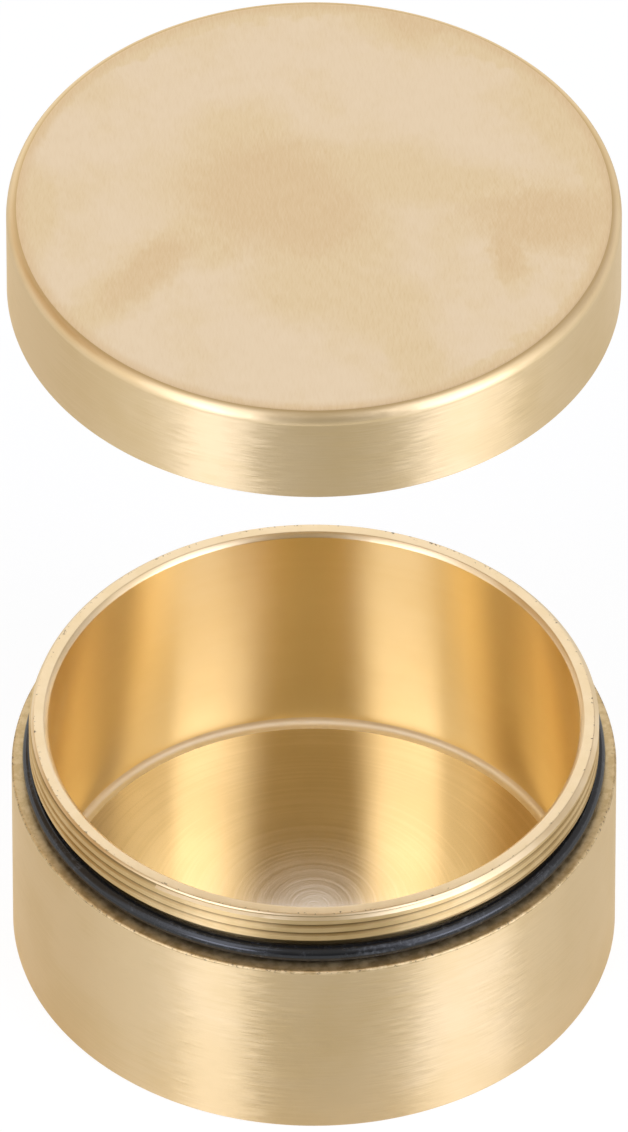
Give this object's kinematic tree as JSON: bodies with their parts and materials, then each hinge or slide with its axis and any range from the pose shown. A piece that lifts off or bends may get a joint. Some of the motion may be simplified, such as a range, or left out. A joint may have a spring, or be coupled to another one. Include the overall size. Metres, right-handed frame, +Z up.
{
  "type": "round screw-top box",
  "caption": "Round turned brass keepsake box: a threaded cup with a rubber sealing ring on its shoulder and a flat-topped screw lid, shown unscrewed and raised above it.",
  "frame": {"origin": "centre of the cup's underside, on the box's axis", "axes": "+Z up along the box's axis, from the underside through the lid; X and Y across the round box"},
  "size_m": [0.055, 0.055, 0.0886],
  "materials": {
    "cup_brass": "satin turned wall, brighter bore and floor",
    "lid_brass": "fine brushed, clouded matte top",
    "seal_rubber": "satin black"
  },
  "bodies": {
    "cup": {"cup": "cup_brass"},
    "seal_ring": {"seal_ring": "seal_rubber"},
    "lid": {"lid": "lid_brass"}
  },
  "joints": [
    {"name": "lid_turn", "type": "hinge", "parent": "cup", "child": "seal_ring", "pos_m": [0, 0, 0.0204], "axis": [0, 0, 1], "range_deg": [-21240, 0]},
    {"name": "lid_lift", "type": "slide", "parent": "seal_ring", "child": "lid", "axis": [0, 0, 1], "range_m": [-0.059, 0]}
  ],
  "couplings": [
    {"joint": "lid_lift", "follows": "lid_turn", "m_per_rad": 0.00015915}
  ]
}
